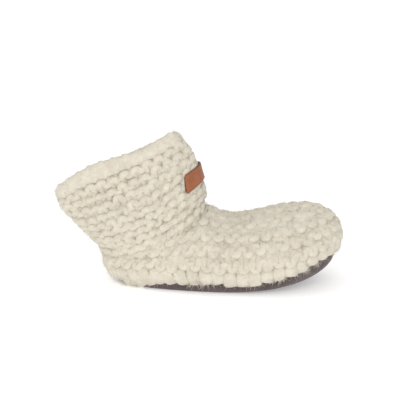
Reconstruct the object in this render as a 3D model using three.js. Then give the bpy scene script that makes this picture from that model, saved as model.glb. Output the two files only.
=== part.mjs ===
// A child's knitted sock shoe: a garter stitch upper with a slack ankle shaft that leans
// back, a cupped suede sole, a felt insole and a leather label on the front of the shaft.
// Millimetres, +Z up, toe towards +X. The shoe is alike on both sides of the XZ plane.
import * as THREE from 'three';
import { mergeVertices } from 'three/addons/utils/BufferGeometryUtils.js';

// Driving sizes of the foot, measured over the knit
const FOOT_LENGTH = 135;
const BALL_WIDTH = 60;
const HEEL_WIDTH = 50;
const WALL = 4.6; // thickness of the knitted fabric
const GAP = 0.3; // between pieces that touch

// Garter stitch rows: each is a ridge that stands out of the wall
const VAMP_ROWS = 6; // from the sole up to the middle of the vamp
const SHAFT_ROWS = 10; // from the ankle up to the collar
const RIDGE = 0.9; // height of a ridge
const BOUND_EDGE = 1.3; // height of the thicker bound-off ridge at the collar

// Plan outlines, each from its heel end to its toe end, with half its width there
const OUTLINE_POWER = 2.4; // 2 is an ellipse, more is squarer
const WIDENS = { from: 0.15, to: 0.7 }; // shares of the length between the heel's width and the ball's
const BULGE = { heel: RIDGE, toe: FOOT_LENGTH, heelHalf: HEEL_WIDTH / 2, ballHalf: BALL_WIDTH / 2 };
const SEAM = { heel: 9, toe: 131, heelHalf: 22, ballHalf: 26 };
const TREAD = { heel: 17, toe: 100, heelHalf: 18.5, ballHalf: 21.5 };

// Heights along the foot: of the seam between knit and sole, and of the widest bulge
const SIDE = [
  { along: 0, seam: 2.6, bulge: 13 },
  { along: 0.3, seam: 4.6, bulge: 14 },
  { along: 0.6, seam: 4, bulge: 16 },
  { along: 0.8, seam: 8.2, bulge: 20 },
  { along: 0.9, seam: 15, bulge: 24 },
  { along: 1, seam: 19.5, bulge: 28 },
];
const HEM_RISE = THREE.MathUtils.degToRad(40); // slope of the knit where it leaves the seam

// The top of the foot along its middle, from the ankle crease to the crown of the toe
const VAMP = [
  { x: 60, top: 43.5 },
  { x: 67, top: 39.8 },
  { x: 75, top: 38.7 },
  { x: 88, top: 41.2 },
  { x: 100, top: 44.3 },
  { x: 112, top: 46.2 },
];
const CREASE_X = VAMP[0].x;
const CREASE_Z = VAMP[0].top;
const CROWN_X = VAMP[VAMP.length - 1].x;

// Rings of the shaft from the ankle to the collar: each runs from its back to its front, half
// as wide as given. A dip over 1 lets it run level at the back and climb at the front, under 1 the
// other way round. A blunt under 1 squares its ends. The slack collar lies half closed.
const RINGS = [
  { height: 0, backX: -0.5, backZ: 18.5, frontX: CREASE_X, frontZ: CREASE_Z, half: 24, dip: 1.5, blunt: 1 },
  { height: 0.4, backX: -10.8, backZ: 30.5, frontX: 55.6, frontZ: 61, half: 24, dip: 1.25, blunt: 1 },
  { height: 0.7, backX: -20.5, backZ: 39.5, frontX: 51.5, frontZ: 74, half: 17, dip: 1.05, blunt: 0.88 },
  { height: 1, backX: -25.5, backZ: 51.5, frontX: 43, frontZ: 85.5, half: 12.5, dip: 0.85, blunt: 0.75 },
];

// Leather and felt
const SOLE_THICK = 2.2;
const CUP = 0.45; // roundness of the sole's flank, 0.55 for a quarter ellipse
const INSOLE_THICK = 2.5;
const INSOLE_INSET = 3.2; // from the edge of the tread
const LABEL = { length: 36, height: 9, thick: 1.3, corner: 1.6, middle: 0.46 };

// Facets: columns run from the heel to the toe along one side, and as many along the other
const ANKLE_COLUMNS = 16;
const VAMP_COLUMNS = 16;
const LINING_ROWS = 8;
const CURVE_STEPS = 5;

const UP = new THREE.Vector3(0, 0, 1);
const vector = (x, y, z) => new THREE.Vector3(x, y, z);
const mirrored = (p) => vector(p.x, -p.y, p.z);

// A column of a table at a place along it, on a smooth curve through its rows
function read(table, key, at, column) {
  const last = table.length - 1;
  let i = 0;
  while (i < last - 1 && at > table[i + 1][key]) i += 1;
  const slope = (k) => {
    const before = table[Math.max(k - 1, 0)];
    const after = table[Math.min(k + 1, last)];
    return (after[column] - before[column]) / (after[key] - before[key]);
  };
  const span = table[i + 1][key] - table[i][key];
  const t = THREE.MathUtils.clamp((at - table[i][key]) / span, 0, 1);
  const rise = table[i + 1][column] - table[i][column];
  const a = slope(i) * span - rise;
  const b = rise - slope(i + 1) * span;
  return table[i][column] + t * rise + t * (1 - t) * (a * (1 - t) + b * t);
}

// A point of a plan outline on the right side, at a share of its length from heel to toe
function outlinePoint(outline, share, z) {
  const widen = THREE.MathUtils.smoothstep(share, WIDENS.from, WIDENS.to);
  const half = THREE.MathUtils.lerp(outline.heelHalf, outline.ballHalf, widen);
  const round = 1 - Math.abs(2 * share - 1) ** OUTLINE_POWER;
  const x = THREE.MathUtils.lerp(outline.heel, outline.toe, share);
  return vector(x, -half * Math.max(round, 0) ** (1 / OUTLINE_POWER), z);
}

// The level direction from the tread out to the seam
function outOfTread(share) {
  return outlinePoint(SEAM, share, 0).sub(outlinePoint(TREAD, share, 0)).normalize();
}

// A column's place is 0 at the heel, 0.5 at the ankle crease and 1 at the toe.
const CREASE = 0.5;
const CREASE_SHARE = CREASE_X / FOOT_LENGTH;
function footShare(place) {
  if (place <= CREASE) return CREASE_SHARE * (1 - Math.cos(Math.PI * place));
  return CREASE_SHARE + (1 - CREASE_SHARE) * Math.sin(Math.PI * (place - CREASE));
}

// The smooth surface of the shaft. Heights run from 0 at the ankle to 1 at the collar.
function shaftPoint(place, height) {
  const share = (1 - Math.cos(Math.PI * place / CREASE)) / 2;
  const at = (column) => read(RINGS, 'height', height, column);
  return vector(
    THREE.MathUtils.lerp(at('backX'), at('frontX'), share),
    -at('half') * Math.max(Math.sin(Math.PI * place / CREASE), 0) ** at('blunt'),
    THREE.MathUtils.lerp(at('backZ'), at('frontZ'), share ** at('dip')),
  );
}
const STEP = 0.002;
function shaftRise(place, height) {
  const low = Math.max(height - STEP, 0);
  const high = Math.min(height + STEP, 1);
  return shaftPoint(place, high).sub(shaftPoint(place, low)).normalize();
}

// Where a rib of the foot ends, and the direction in which it arrives there: over the vamp it
// lies level and meets its mirror image, and at the ankle it runs on into the shaft.
function ribTop(place, bulge) {
  if (place > CREASE) {
    const ahead = (footShare(place) - CREASE_SHARE) / (1 - CREASE_SHARE);
    const taper = (FOOT_LENGTH - CREASE_X) / (CROWN_X - CREASE_X);
    const x = CREASE_X + (CROWN_X - CREASE_X) * (1 - (1 - ahead) ** taper);
    const point = vector(x, 0, read(VAMP, 'x', x, 'top'));
    return { point, arrives: vector(x - bulge.x, -bulge.y, 0).normalize() };
  }
  const inwards = vector(0, 1, 0);
  const levelling = THREE.MathUtils.smoothstep(place / CREASE, 0.5, 1);
  return { point: shaftPoint(place, 0), arrives: shaftRise(place, 0).lerp(inwards, levelling).normalize() };
}

// A rib of the foot: from the seam out to the bulge, and from there up to its top
const ROUND = 0.55; // handle of a quarter circle, as a share of its radius
const ribs = new Map();
function rib(place) {
  if (ribs.has(place)) return ribs.get(place);
  const share = footShare(place);
  const seam = outlinePoint(SEAM, share, read(SIDE, 'along', share, 'seam'));
  const bulge = outlinePoint(BULGE, share, read(SIDE, 'along', share, 'bulge'));
  const { point: top, arrives } = ribTop(place, bulge);
  const outwards = vector(bulge.x - seam.x, bulge.y - seam.y, 0);
  const reach = outwards.length();
  const leaves = outwards.normalize().multiplyScalar(Math.cos(HEM_RISE));
  leaves.addScaledVector(UP, Math.sin(HEM_RISE));
  const over = Math.hypot(top.x - bulge.x, top.y - bulge.y);
  const rise = top.z - bulge.z;
  const path = new THREE.CurvePath();
  path.add(new THREE.CubicBezierCurve3(
    seam,
    seam.clone().addScaledVector(leaves, ROUND * reach),
    bulge.clone().addScaledVector(UP, -ROUND * (bulge.z - seam.z)),
    bulge,
  ));
  path.add(new THREE.CubicBezierCurve3(
    bulge,
    bulge.clone().addScaledVector(UP, ROUND * rise),
    top.clone().addScaledVector(arrives, -ROUND * Math.max(over, rise / 2)),
    top,
  ));
  ribs.set(place, path);
  return path;
}

// The smooth surface of the foot. Heights run from 0 at the seam to 1 at the ankle or the middle.
const footPoint = (place, height) => rib(place).getPoint(height);

// The outward normal of a surface on the right side of the shoe. Ribs that end on the middle of
// the vamp crowd together there, so the normal is taken a little short of their ends.
const SHORT_OF_END = 0.97;
const ON_MIDDLE = 1e-6;
function normalOf(surface, place, height) {
  const last = surface === shaftPoint ? CREASE : 1;
  const level = place > CREASE ? Math.min(height, SHORT_OF_END) : height;
  const ahead = surface(Math.min(place + STEP, last), level);
  const behind = surface(Math.max(place - STEP, 0), level);
  const above = surface(place, Math.min(level + STEP, 1));
  const below = surface(place, Math.max(level - STEP, 0));
  const normal = ahead.sub(behind).cross(above.sub(below));
  if (Math.abs(surface(place, height).y) < ON_MIDDLE) normal.y = 0;
  return normal.normalize();
}

// The inside of the wall. The hem lies level, and towards the ankle the foot's and the shaft's
// normals turn into one another, so that both parts of the lining end on the same points.
const MITRE_HEIGHT = 0.4;
function lining(surface, place, height) {
  const point = surface(place, height);
  if (surface === footPoint && height === 0) {
    return point.addScaledVector(outOfTread(footShare(place)), -WALL);
  }
  const own = normalOf(surface, place, height);
  const normal = own.clone();
  if (place <= CREASE) {
    const mitre = normalOf(footPoint, place, 1).add(normalOf(shaftPoint, place, 0)).normalize();
    const { smoothstep } = THREE.MathUtils;
    const turned = surface === footPoint
      ? smoothstep(height, MITRE_HEIGHT, 1)
      : 1 - smoothstep(height, 0, MITRE_HEIGHT);
    normal.lerp(mitre, turned).normalize();
  }
  return point.addScaledVector(normal, -WALL / normal.dot(own));
}

// The outside of the wall: a row is lifted between its two valleys.
function ridged(surface, place, height, row, relief) {
  const lift = relief * Math.sin(Math.PI * row) ** 2;
  return surface(place, height).addScaledVector(normalOf(surface, place, height), lift);
}

// The vamp holds all the rows of the foot. Behind the crease a shorter rib holds fewer.
function rowsAt(place) {
  const fill = rib(Math.min(place, CREASE)).getLength() / rib(CREASE).getLength();
  return VAMP_ROWS * fill;
}

// Columns of the right side, from heel to toe
const columns = [];
for (let i = 0; i < ANKLE_COLUMNS; i += 1) columns.push(CREASE * i / ANKLE_COLUMNS);
for (let i = 0; i <= VAMP_COLUMNS; i += 1) columns.push(CREASE + (1 - CREASE) * i / VAMP_COLUMNS);
const ankleColumns = columns.slice(0, ANKLE_COLUMNS + 1);

// A closed ring of points, from a function that gives those of the right side
function ringOf(places, point) {
  const right = places.map(point);
  const left = right.slice(1, -1).reverse().map(mirrored);
  return [...right, ...left];
}

// A solid from strips of rings: neighbouring rings of a strip are joined by two triangles a step.
const WELD = 1e-3; // points nearer than this are one
function solid(strips) {
  const corners = [];
  const face = (...points) => points.forEach((p) => corners.push(p.x, p.y, p.z));
  for (const rings of strips) {
    for (let r = 0; r + 1 < rings.length; r += 1) {
      const count = rings[r].length;
      for (let i = 0; i < count; i += 1) {
        const j = (i + 1) % count;
        face(rings[r][i], rings[r][j], rings[r + 1][j]);
        face(rings[r][i], rings[r + 1][j], rings[r + 1][i]);
      }
    }
  }
  const loose = new THREE.BufferGeometry();
  loose.setAttribute('position', new THREE.Float32BufferAttribute(corners, 3));
  const welded = mergeVertices(loose, WELD);
  const kept = [];
  for (let i = 0; i < welded.index.count; i += 3) {
    const [a, b, c] = [0, 1, 2].map((k) => welded.index.getX(i + k));
    if (a !== b && b !== c && c !== a) kept.push(a, b, c);
  }
  welded.setIndex(kept);
  welded.computeVertexNormals();
  return welded;
}

// The knitted upper: outside and lining of foot and shaft, a round rim and a hem
function upperGeometry() {
  const footRings = [];
  for (let half = 0; half <= 2 * VAMP_ROWS; half += 1) {
    footRings.push(ringOf(columns, (place) => {
      const row = Math.min(half / 2, rowsAt(place));
      const relief = RIDGE * Math.min(rowsAt(place) - row, 1);
      return ridged(footPoint, place, row / rowsAt(place), row, relief);
    }));
  }
  const shaftRings = [];
  for (let half = 0; half <= 2 * SHAFT_ROWS; half += 1) {
    const row = half / 2;
    const relief = SHAFT_ROWS - row < 1 ? BOUND_EDGE : RIDGE;
    shaftRings.push(ringOf(ankleColumns, (place) => (
      ridged(shaftPoint, place, row / SHAFT_ROWS, row, relief)
    )));
  }
  const rim = ringOf(ankleColumns, (place) => {
    const outer = shaftPoint(place, 1);
    const inner = lining(shaftPoint, place, 1);
    return outer.add(inner).multiplyScalar(0.5).addScaledVector(shaftRise(place, 1), WALL / 2);
  });
  const shaftLining = [];
  const footLining = [];
  for (let row = LINING_ROWS; row >= 0; row -= 1) {
    const height = row / LINING_ROWS;
    shaftLining.push(ringOf(ankleColumns, (place) => lining(shaftPoint, place, height)));
    footLining.push(ringOf(columns, (place) => lining(footPoint, place, height)));
  }
  const hem = [footLining[LINING_ROWS], footRings[0]];
  return solid([footRings, [...shaftRings, rim, ...shaftLining], footLining, hem]);
}

// The sole: a dish whose rim meets the seam all round, with a flat tread underneath
function soleGeometry() {
  const sections = columns.map((place) => {
    const share = footShare(place);
    const seamHeight = read(SIDE, 'along', share, 'seam') - GAP;
    const rim = outlinePoint(SEAM, share, seamHeight);
    const tread = outlinePoint(TREAD, share, 0);
    const outwards = outOfTread(share);
    const flank = (low, high) => new THREE.CubicBezierCurve3(
      low,
      low.clone().addScaledVector(outwards, CUP * Math.hypot(high.x - low.x, high.y - low.y)),
      high.clone().addScaledVector(UP, CUP * (low.z - high.z)),
      high,
    );
    const outside = flank(tread, rim).getPoints(CURVE_STEPS);
    const floor = tread.clone().addScaledVector(UP, SOLE_THICK);
    const edge = rim.clone().addScaledVector(outwards, -SOLE_THICK);
    const inside = flank(floor, edge).getPoints(CURVE_STEPS);
    const right = [...outside, ...inside.reverse()];
    return [...right.slice().reverse(), ...right.map(mirrored)];
  });
  return solid([sections]);
}

// The insole: a flat felt pad inside the tread's outline
function insoleGeometry() {
  const outline = {
    heel: TREAD.heel + INSOLE_INSET,
    toe: TREAD.toe - INSOLE_INSET,
    heelHalf: TREAD.heelHalf - INSOLE_INSET,
    ballHalf: TREAD.ballHalf - INSOLE_INSET,
  };
  const ring = ringOf(columns, (place) => outlinePoint(outline, footShare(place), 0));
  const shape = new THREE.Shape(ring.map((p) => new THREE.Vector2(p.x, p.y)));
  const pad = new THREE.ExtrudeGeometry(shape, { depth: INSOLE_THICK, bevelEnabled: false });
  return pad.translate(0, 0, SOLE_THICK + GAP);
}

// The label: a strip with round corners, bent round the front of the shaft over its ridges
const LABEL_STEPS = 8; // columns from the middle to one end
function labelGeometry() {
  const front = (height) => shaftPoint(CREASE, height);
  const pitch = front(LABEL.middle + STEP).distanceTo(front(LABEL.middle - STEP)) / (2 * STEP);
  let end = CREASE;
  let walked = 0;
  while (walked < LABEL.length / 2) {
    walked += shaftPoint(end, LABEL.middle).distanceTo(shaftPoint(end - STEP, LABEL.middle));
    end -= STEP;
  }
  const rings = [];
  for (let step = -LABEL_STEPS; step <= LABEL_STEPS; step += 1) {
    const turn = Math.sin(Math.PI / 2 * step / LABEL_STEPS);
    const place = CREASE - (CREASE - end) * Math.abs(turn);
    const fromEnd = Math.min((1 - Math.abs(turn)) * LABEL.length / 2, LABEL.corner);
    const cut = LABEL.corner - Math.sqrt(LABEL.corner ** 2 - (LABEL.corner - fromEnd) ** 2);
    const half = (LABEL.height / 2 - cut) / pitch;
    const layer = (offset) => [-half, 0, half].map((above) => {
      const height = LABEL.middle + above;
      const point = shaftPoint(place, height);
      point.addScaledVector(normalOf(shaftPoint, place, height), offset);
      return step < 0 ? mirrored(point) : point;
    });
    const inner = layer(RIDGE + GAP);
    const outer = layer(RIDGE + GAP + LABEL.thick);
    rings.push([...outer, ...inner.reverse()]);
  }
  const closing = (ring) => {
    const centre = ring.reduce((sum, p) => sum.add(p), vector(0, 0, 0)).divideScalar(ring.length);
    return ring.map(() => centre);
  };
  return solid([[closing(rings[0]), ...rings, closing(rings[rings.length - 1])]]);
}

function piece(name, geometry, colour, roughness) {
  const material = new THREE.MeshStandardMaterial({ color: colour, roughness, metalness: 0 });
  const mesh = new THREE.Mesh(geometry, material);
  mesh.name = name;
  return mesh;
}

const shoe = new THREE.Group();
shoe.name = 'sock_shoe';
shoe.add(piece('upper', upperGeometry(), 0xd9d0be, 0.95));
shoe.add(piece('sole', soleGeometry(), 0x6c625c, 0.9));
shoe.add(piece('insole', insoleGeometry(), 0xcfc6b4, 0.95));
shoe.add(piece('label', labelGeometry(), 0xa0664a, 0.6));

// The origin is under the middle of the shoe.
const box = new THREE.Box3().setFromObject(shoe);
const middle = box.getCenter(vector(0, 0, 0));
shoe.children.forEach((mesh) => mesh.geometry.translate(-middle.x, -middle.y, -box.min.z));

export default shoe;
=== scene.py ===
import math

import bmesh
import bpy
import numpy as np
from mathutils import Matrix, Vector
from mathutils.kdtree import KDTree


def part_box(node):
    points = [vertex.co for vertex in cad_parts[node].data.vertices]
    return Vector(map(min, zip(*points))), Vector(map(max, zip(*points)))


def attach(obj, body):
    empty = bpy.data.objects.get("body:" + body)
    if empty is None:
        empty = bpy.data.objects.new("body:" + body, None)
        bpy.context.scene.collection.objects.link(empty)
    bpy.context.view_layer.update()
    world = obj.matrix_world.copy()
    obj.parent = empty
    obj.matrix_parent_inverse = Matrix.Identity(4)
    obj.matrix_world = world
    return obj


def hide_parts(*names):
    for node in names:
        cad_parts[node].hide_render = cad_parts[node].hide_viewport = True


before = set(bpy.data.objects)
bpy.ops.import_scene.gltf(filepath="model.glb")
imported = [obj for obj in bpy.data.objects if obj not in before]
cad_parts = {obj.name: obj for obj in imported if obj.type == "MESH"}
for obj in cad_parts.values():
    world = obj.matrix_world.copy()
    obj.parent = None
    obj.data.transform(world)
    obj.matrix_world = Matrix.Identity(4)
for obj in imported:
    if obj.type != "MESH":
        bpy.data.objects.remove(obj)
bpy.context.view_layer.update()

# Sole
# One piece of dark grey-brown suede, pressed into a shallow dish that cups the toe.
# Its edge is sewn to the bottom of the knit all round, and its flat middle stands on the floor.
MM = 0.001  # the sizes below are in millimetres
SEAM = {"heel": 9, "toe": 131, "heel_half": 22, "ball_half": 26}
TREAD = {"heel": 17, "toe": 100, "heel_half": 18.5, "ball_half": 21.5}
OUTLINE_POWER = 2.4  # 2 is an ellipse, more is squarer
WIDENS = (0.15, 0.7)  # shares of the length between which the outline widens from heel to ball
SIDE = {
    "along": [0, 0.3, 0.6, 0.8, 0.9, 1],
    "seam": [2.6, 4.6, 4, 8.2, 15, 19.5],
    "bulge": [13, 14, 16, 20, 24, 28],
}
FOOT_LENGTH, CREASE_X = 135, 60
CREASE = 0.5  # a place runs from 0 at the heel over this at the ankle crease to 1 at the toe
CREASE_SHARE = CREASE_X / FOOT_LENGTH
SEAM_GAP = 0.3
TUCK = 1.6  # of the suede's edge, up behind the ends of the knit
EDGE_CROWN = 0.5  # height of the suede's rounded edge, as a share of half its thickness
SOLE = {"thick": 2.2, "cup": 0.45, "sections": 97, "flank_steps": 12, "floor_steps": 6, "edge_steps": 5}
SUEDE = {
    "colour": (0.138, 0.108, 0.106, 1), "shade": (0.074, 0.057, 0.056, 1),
    "patch": 9, "grain": 0.7, "share": 0.5, "depth": 0.35, "strength": 0.7,
    "Roughness": 0.93, "Sheen_Weight": 0.2, "Specular_IOR_Level": 0.2,
}
WELD, SLIVER = 2e-6, 1e-6  # in metres: points this near become one, and edges this short go
MIX_SOCKETS = {"FLOAT": (2, 3, 0), "RGBA": (6, 7, 2)}  # first and second input of a Mix node, and its output
MOTTLING_SPREAD = (0.32, 0.68)  # the noise between these values runs from the shade to the colour
to_frame = np.array([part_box("sole")[0].x / MM - SEAM["heel"], 0, 0])


def unit(vectors):
    return vectors / np.maximum(np.linalg.norm(vectors, axis=-1, keepdims=True), 1e-9)


def smooth_between(low, high, values):
    t = np.clip((values - low) / (high - low), 0, 1)
    return t * t * (3 - 2 * t)


def read_table(table, key, at, column):
    """A column of a table at places along its key, on a smooth curve through its rows."""
    keys, values = np.array(table[key], float), np.array(table[column], float)
    index = np.arange(len(keys))
    before, after = np.maximum(index - 1, 0), np.minimum(index + 1, len(keys) - 1)
    slopes = (values[after] - values[before]) / (keys[after] - keys[before])
    i = np.clip(np.searchsorted(keys, at, side="left") - 1, 0, len(keys) - 2)
    span, rise = keys[i + 1] - keys[i], values[i + 1] - values[i]
    t = np.clip((at - keys[i]) / span, 0, 1)
    bend = (slopes[i] * span - rise) * (1 - t) + (rise - slopes[i + 1] * span) * t
    return values[i] + t * rise + t * (1 - t) * bend


def outline(shape, share, height):
    """Points of a plan outline on the shoe's right side, from the heel to the toe."""
    half = shape["heel_half"] + (shape["ball_half"] - shape["heel_half"]) * smooth_between(*WIDENS, share)
    around = np.maximum(1 - np.abs(2 * share - 1) ** OUTLINE_POWER, 0) ** (1 / OUTLINE_POWER)
    along = shape["heel"] + (shape["toe"] - shape["heel"]) * share
    return np.stack([along, -half * around, height + 0 * share], -1)


def foot_share(place):
    behind = CREASE_SHARE * (1 - np.cos(np.pi * np.minimum(place, CREASE)))
    ahead = (1 - CREASE_SHARE) * np.sin(np.pi * np.maximum(place - CREASE, 0))
    return behind + ahead


def curve(a, b, c, d, t):
    """Points of a Bezier curve; t gets an axis of its own in front of x, y and z."""
    t = np.asarray(t)[:, None]
    a, b, c, d = (p[..., None, :] for p in (a, b, c, d))
    return (1 - t) ** 3 * a + 3 * t * (1 - t) ** 2 * b + 3 * t * t * (1 - t) * c + t ** 3 * d


def grid_faces(rows, columns, close_rows=False, close_columns=False):
    """Four-cornered faces over a grid of points, row after row."""
    r = np.arange(rows if close_rows else rows - 1)[:, None]
    c = np.arange(columns if close_columns else columns - 1)[None, :]
    r2, c2 = (r + 1) % rows, (c + 1) % columns
    corners = [r * columns + c, r * columns + c2, r2 * columns + c2, r2 * columns + c]
    return np.stack([k.ravel() for k in np.broadcast_arrays(*corners)], -1)


def add_piece(name, points, faces, material, uv=None, weld=False):
    """A mesh piece from points in millimetres. uv gives each face corner its own place."""
    mesh = bpy.data.meshes.new(name)
    mesh.from_pydata(((points + to_frame) * MM).tolist(), [], [list(f) for f in faces])
    if uv is not None:
        layer = mesh.uv_layers.new(name="cloth")
        layer.uv.foreach_set("vector", np.asarray(uv, np.float32).ravel())
    if weld:
        body = bmesh.new()
        body.from_mesh(mesh)
        bmesh.ops.remove_doubles(body, verts=body.verts, dist=WELD)
        bmesh.ops.dissolve_degenerate(body, edges=body.edges, dist=SLIVER)
        bmesh.ops.recalc_face_normals(body, faces=body.faces)
        body.to_mesh(mesh)
        body.free()
    mesh.polygons.foreach_set("use_smooth", np.ones(len(mesh.polygons), bool))
    mesh.materials.append(material)
    mesh.update()
    piece = bpy.data.objects.new(name, mesh)
    bpy.context.scene.collection.objects.link(piece)
    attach(piece, "root")
    return piece


def add_rings(name, forms, material):
    """A welded piece of one or more forms, each made of rings of points that close round."""
    points, faces, count = [], [], 0
    for rings in forms:
        points.append(rings.reshape(-1, 3))
        faces.append(grid_faces(*rings.shape[:2], close_columns=True) + count)
        count += len(points[-1])
    return add_piece(name, np.concatenate(points), np.concatenate(faces), material, weld=True)


def feed(tree, socket, value):
    """Links a socket to another one, or sets it to a plain value."""
    if isinstance(value, bpy.types.NodeSocket):
        tree.links.new(value, socket)
    else:
        socket.default_value = value


def node(tree, kind, **settings):
    """A node whose sockets and properties are set by name, with spaces written as underscores."""
    made = tree.nodes.new(kind)
    for key, value in settings.items():
        socket = key.replace("_", " ")
        if socket in made.inputs:
            feed(tree, made.inputs[socket], value)
        else:
            setattr(made, key, value)
    return made


def mixed(tree, kind, factor, first, second):
    """The output of a Mix node that goes from its first input to its second one."""
    made = node(tree, "ShaderNodeMix", data_type=kind)
    first_socket, second_socket, output = MIX_SOCKETS[kind]
    feed(tree, made.inputs[0], factor)
    feed(tree, made.inputs[first_socket], first)
    feed(tree, made.inputs[second_socket], second)
    return made.outputs[output]


def mottling_group():
    """Uneven colour in soft patches, and a fine grain: the nap of suede, felt, wool and leather."""
    group = bpy.data.node_groups.new("Mottling", "ShaderNodeTree")
    for name in ("Colour", "Shade"):
        group.interface.new_socket(name, in_out="INPUT", socket_type="NodeSocketColor")
    for name in ("Patch Scale", "Grain Scale", "Grain Share"):
        group.interface.new_socket(name, in_out="INPUT", socket_type="NodeSocketFloat")
    group.interface.new_socket("Colour", in_out="OUTPUT", socket_type="NodeSocketColor")
    group.interface.new_socket("Height", in_out="OUTPUT", socket_type="NodeSocketFloat")
    given = group.nodes.new("NodeGroupInput").outputs
    place = group.nodes.new("ShaderNodeTexCoord").outputs["Object"]
    patch = node(group, "ShaderNodeTexNoise", Vector=place, Scale=given["Patch Scale"], Detail=3.0)
    grain = node(group, "ShaderNodeTexNoise", Vector=place, Scale=given["Grain Scale"], Detail=4.0)
    grain.inputs["Roughness"].default_value = 0.65
    weighed = mixed(group, "FLOAT", given["Grain Share"], patch.outputs["Fac"], grain.outputs["Fac"])
    low, high = MOTTLING_SPREAD
    spread = node(group, "ShaderNodeMapRange", Value=weighed, From_Min=low, From_Max=high)
    colour = mixed(group, "RGBA", spread.outputs[0], given["Shade"], given["Colour"])
    node(group, "NodeGroupOutput", Colour=colour, Height=grain.outputs["Fac"])
    return group


mottling = mottling_group()


def new_material(name, **sockets):
    """A material whose Principled shader has the named sockets set to uniform values."""
    material = bpy.data.materials.new(name)
    material.use_nodes = True
    shader = material.node_tree.nodes["Principled BSDF"]
    for socket, value in sockets.items():
        shader.inputs[socket.replace("_", " ")].default_value = value
    return material, material.node_tree, shader


def mottled(tree, colour, shade, patch, grain, share):
    """The mottling group in a material: patch and grain are sizes in millimetres."""
    scales = {"Patch_Scale": 1 / (patch * MM), "Grain_Scale": 1 / (grain * MM), "Grain_Share": share}
    return node(tree, "ShaderNodeGroup", node_tree=mottling, Colour=colour, Shade=shade, **scales)


def bumped(tree, shader, height, depth, strength):
    """Feeds a height to the shader's normal; depth is the relief's size in millimetres."""
    bump = node(tree, "ShaderNodeBump", Height=height, Strength=strength, Distance=depth * MM)
    tree.links.new(bump.outputs["Normal"], shader.inputs["Normal"])


def napped(name, colour, shade, patch, grain, share, depth, strength, **sockets):
    """A mottled material with the relief of its grain."""
    material, tree, shader = new_material(name, **sockets)
    nap = mottled(tree, colour, shade, patch, grain, share)
    tree.links.new(nap.outputs["Colour"], shader.inputs["Base Color"])
    bumped(tree, shader, nap.outputs["Height"], depth, strength)
    return material


def flank(low, high, t):
    """The curve of the dish from the tread out and up to the edge."""
    level = (high - low) * [1, 1, 0]
    return curve(low, low + level * SOLE["cup"], high - (high - low - level) * SOLE["cup"], high, t)


def sole_points():
    """Cross sections from heel to toe, each a closed loop: tread, flank, edge, inside and floor."""
    share = foot_share(np.linspace(0, 1, SOLE["sections"]))
    height = read_table(SIDE, "along", share, "seam") - SEAM_GAP
    rim, tread = outline(SEAM, share, height), outline(TREAD, share, 0)
    out = unit((rim - tread) * [1, 1, 0])
    up = np.array([0, 0, 1])

    floor = tread + up * SOLE["thick"]
    round_edge = SOLE["thick"] / 2
    steps = np.linspace(0, 1, SOLE["flank_steps"] + 1)
    below_edge = rim - up * round_edge * EDGE_CROWN
    outer = flank(tread, below_edge, steps)
    inner = flank(floor, below_edge - out * SOLE["thick"], steps)
    turn = np.linspace(0, np.pi, SOLE["edge_steps"] + 2)[1:-1]
    middle = (outer[:, -1] + inner[:, -1]) / 2 + up * TUCK
    edge = middle[:, None] + round_edge * np.cos(turn)[:, None] * out[:, None]
    edge = edge + EDGE_CROWN * round_edge * np.sin(turn)[:, None] * up
    across = np.linspace(0, 1, SOLE["floor_steps"] + 1)[:-1, None]
    narrowed = 1 - (1 - across) * [0, 1, 0]
    under, above = tread[:, None] * narrowed, floor[:, None] * narrowed
    right = np.concatenate([under, outer, edge, inner[:, ::-1], above[:, ::-1]], 1)
    left = (right * [1, -1, 1])[:, ::-1][:, 1:-1]
    return np.concatenate([right, left], 1)


sole = add_rings("suede_sole", [sole_points()], napped("suede", **SUEDE))
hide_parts("sole")

# Insole
# A pad of pale pressed wool felt with a soft rounded edge. It is cut a little smaller than the
# tread and laid loose in the sole.
INSOLE = {
    "inset": 3.2, "thick": 2.5, "edge": 0.8, "heel_round": 14, "toe_round": 16,
    "around": 97, "rings": 10, "edge_steps": 7,
}
FELT = {
    "colour": (0.66, 0.60, 0.49, 1), "shade": (0.52, 0.46, 0.36, 1),
    "patch": 6, "grain": 0.5, "share": 0.6, "depth": 0.3, "strength": 0.6,
    "Roughness": 0.95, "Sheen_Weight": 0.3, "Specular_IOR_Level": 0.2,
}


def insole_points():
    """Rings of the pad from the middle of its underside over its round edge to the middle of its top."""
    inset = INSOLE["inset"]
    pad = {k: v + (inset if k == "heel" else -inset) for k, v in TREAD.items()}
    right = outline(pad, foot_share(np.linspace(0, 1, INSOLE["around"])), 0)
    rim = np.concatenate([right, (right * [1, -1, 1])[::-1][1:-1]])
    spine = rim * [1, 0, 1]
    spine[:, 0] = np.clip(spine[:, 0], pad["heel"] + INSOLE["heel_round"], pad["toe"] - INSOLE["toe_round"])
    low = SOLE["thick"] + SEAM_GAP
    high = low + INSOLE["thick"]
    inwards = unit(spine - rim)
    edge_rings = []
    for turn in np.linspace(-np.pi / 2, np.pi / 2, INSOLE["edge_steps"]):
        height = (low + high) / 2 + math.sin(turn) * (high - low) / 2
        edge_rings.append(rim + inwards * INSOLE["edge"] * (1 - math.cos(turn)) + [0, 0, height])
    shares = np.linspace(0, 1, INSOLE["rings"])[1:]
    bottom = [edge_rings[0] + (spine + [0, 0, low] - edge_rings[0]) * s for s in shares[::-1]]
    top = [edge_rings[-1] + (spine + [0, 0, high] - edge_rings[-1]) * s for s in shares]
    return np.array(bottom + edge_rings + top)


insole = add_rings("felt_insole", [insole_points()], napped("felt", **FELT))
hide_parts("insole")

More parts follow.
